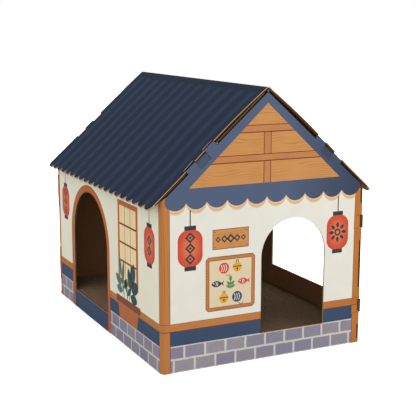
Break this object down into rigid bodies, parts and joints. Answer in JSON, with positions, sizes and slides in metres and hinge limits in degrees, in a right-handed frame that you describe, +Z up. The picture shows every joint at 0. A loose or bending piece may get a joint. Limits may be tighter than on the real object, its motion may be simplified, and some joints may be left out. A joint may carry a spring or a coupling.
{
  "type": "cat scratcher house",
  "caption": "Flat-packed corrugated board cat house with a pitched roof, arched doorways, a side window, locked corners and a scratching pad floor.",
  "frame": {"origin": "middle of the footprint on the ground", "axes": "+Z up, -Y out of the front gable, -X out of the wall with the arched side doorway"},
  "size_m": [0.3996, 0.5, 0.4331],
  "materials": {
    "printed_board": "matte print on white-lined board",
    "roof_board": "matte dark blue print",
    "pad_board": "raw kraft, cut edges of corrugated strips"
  },
  "bodies": {
    "walls": {"front_wall": "printed_board", "front_corner_fold": "printed_board", "left_wall": "printed_board", "front_lock_flange": "printed_board", "front_gable_flange_right": "printed_board", "front_gable_flange_left": "printed_board", "back_wall": "printed_board", "back_corner_fold": "printed_board", "right_wall": "printed_board", "back_lock_flange": "printed_board", "back_gable_flange_left": "printed_board", "back_gable_flange_right": "printed_board"},
    "roof_right": {"roof_right": "roof_board"},
    "roof_left": {"roof_left": "roof_board"},
    "pad": {"scratch_pad": "pad_board"},
    "front_lower_tongue": {"front_lower_tongue": "printed_board"},
    "front_upper_tongue": {"front_upper_tongue": "printed_board"},
    "back_lower_tongue": {"back_lower_tongue": "printed_board"},
    "back_upper_tongue": {"back_upper_tongue": "printed_board"},
    "front_gable_tongue_right": {"front_gable_tongue_right": "printed_board"},
    "front_gable_tongue_left": {"front_gable_tongue_left": "printed_board"},
    "back_gable_tongue_left": {"back_gable_tongue_left": "printed_board"},
    "back_gable_tongue_right": {"back_gable_tongue_right": "printed_board"}
  },
  "joints": [
    {"name": "roof_lift", "type": "slide", "parent": "walls", "child": "roof_right", "axis": [0, 0, 1], "range_m": [0, 0.25]},
    {"name": "roof_fold", "type": "hinge", "parent": "roof_right", "child": "roof_left", "pos_m": [0, 0, 0.43312], "axis": [0, 1, 0], "range_deg": [0, 82.6]},
    {"name": "pad_lift", "type": "slide", "parent": "walls", "child": "pad", "axis": [0, 0, 1], "range_m": [0, 0.236]},
    {"name": "front_lower_tongue_crease", "type": "hinge", "parent": "walls", "child": "front_lower_tongue", "pos_m": [0.165, -0.247, 0.064], "axis": [0, 0, 1], "range_deg": [-8, 42]},
    {"name": "front_upper_tongue_crease", "type": "hinge", "parent": "walls", "child": "front_upper_tongue", "pos_m": [0.165, -0.247, 0.208], "axis": [0, 0, 1], "range_deg": [-8, 42]},
    {"name": "back_lower_tongue_crease", "type": "hinge", "parent": "walls", "child": "back_lower_tongue", "pos_m": [-0.165, 0.247, 0.064], "axis": [0, 0, 1], "range_deg": [-8, 42]},
    {"name": "back_upper_tongue_crease", "type": "hinge", "parent": "walls", "child": "back_upper_tongue", "pos_m": [-0.165, 0.247, 0.208], "axis": [0, 0, 1], "range_deg": [-8, 42]},
    {"name": "front_gable_tongue_right_crease", "type": "hinge", "parent": "walls", "child": "front_gable_tongue_right", "pos_m": [0.10484, -0.247, 0.32155], "axis": [-0.7513, 0, 0.66], "range_deg": [-8, 42]},
    {"name": "front_gable_tongue_left_crease", "type": "hinge", "parent": "walls", "child": "front_gable_tongue_left", "pos_m": [-0.10484, -0.247, 0.32155], "axis": [-0.7513, 0, -0.66], "range_deg": [-8, 42]},
    {"name": "back_gable_tongue_left_crease", "type": "hinge", "parent": "walls", "child": "back_gable_tongue_left", "pos_m": [-0.10484, 0.247, 0.32155], "axis": [0.7513, 0, 0.66], "range_deg": [-8, 42]},
    {"name": "back_gable_tongue_right_crease", "type": "hinge", "parent": "walls", "child": "back_gable_tongue_right", "pos_m": [0.10484, 0.247, 0.32155], "axis": [0.7513, 0, -0.66], "range_deg": [-8, 42]}
  ]
}
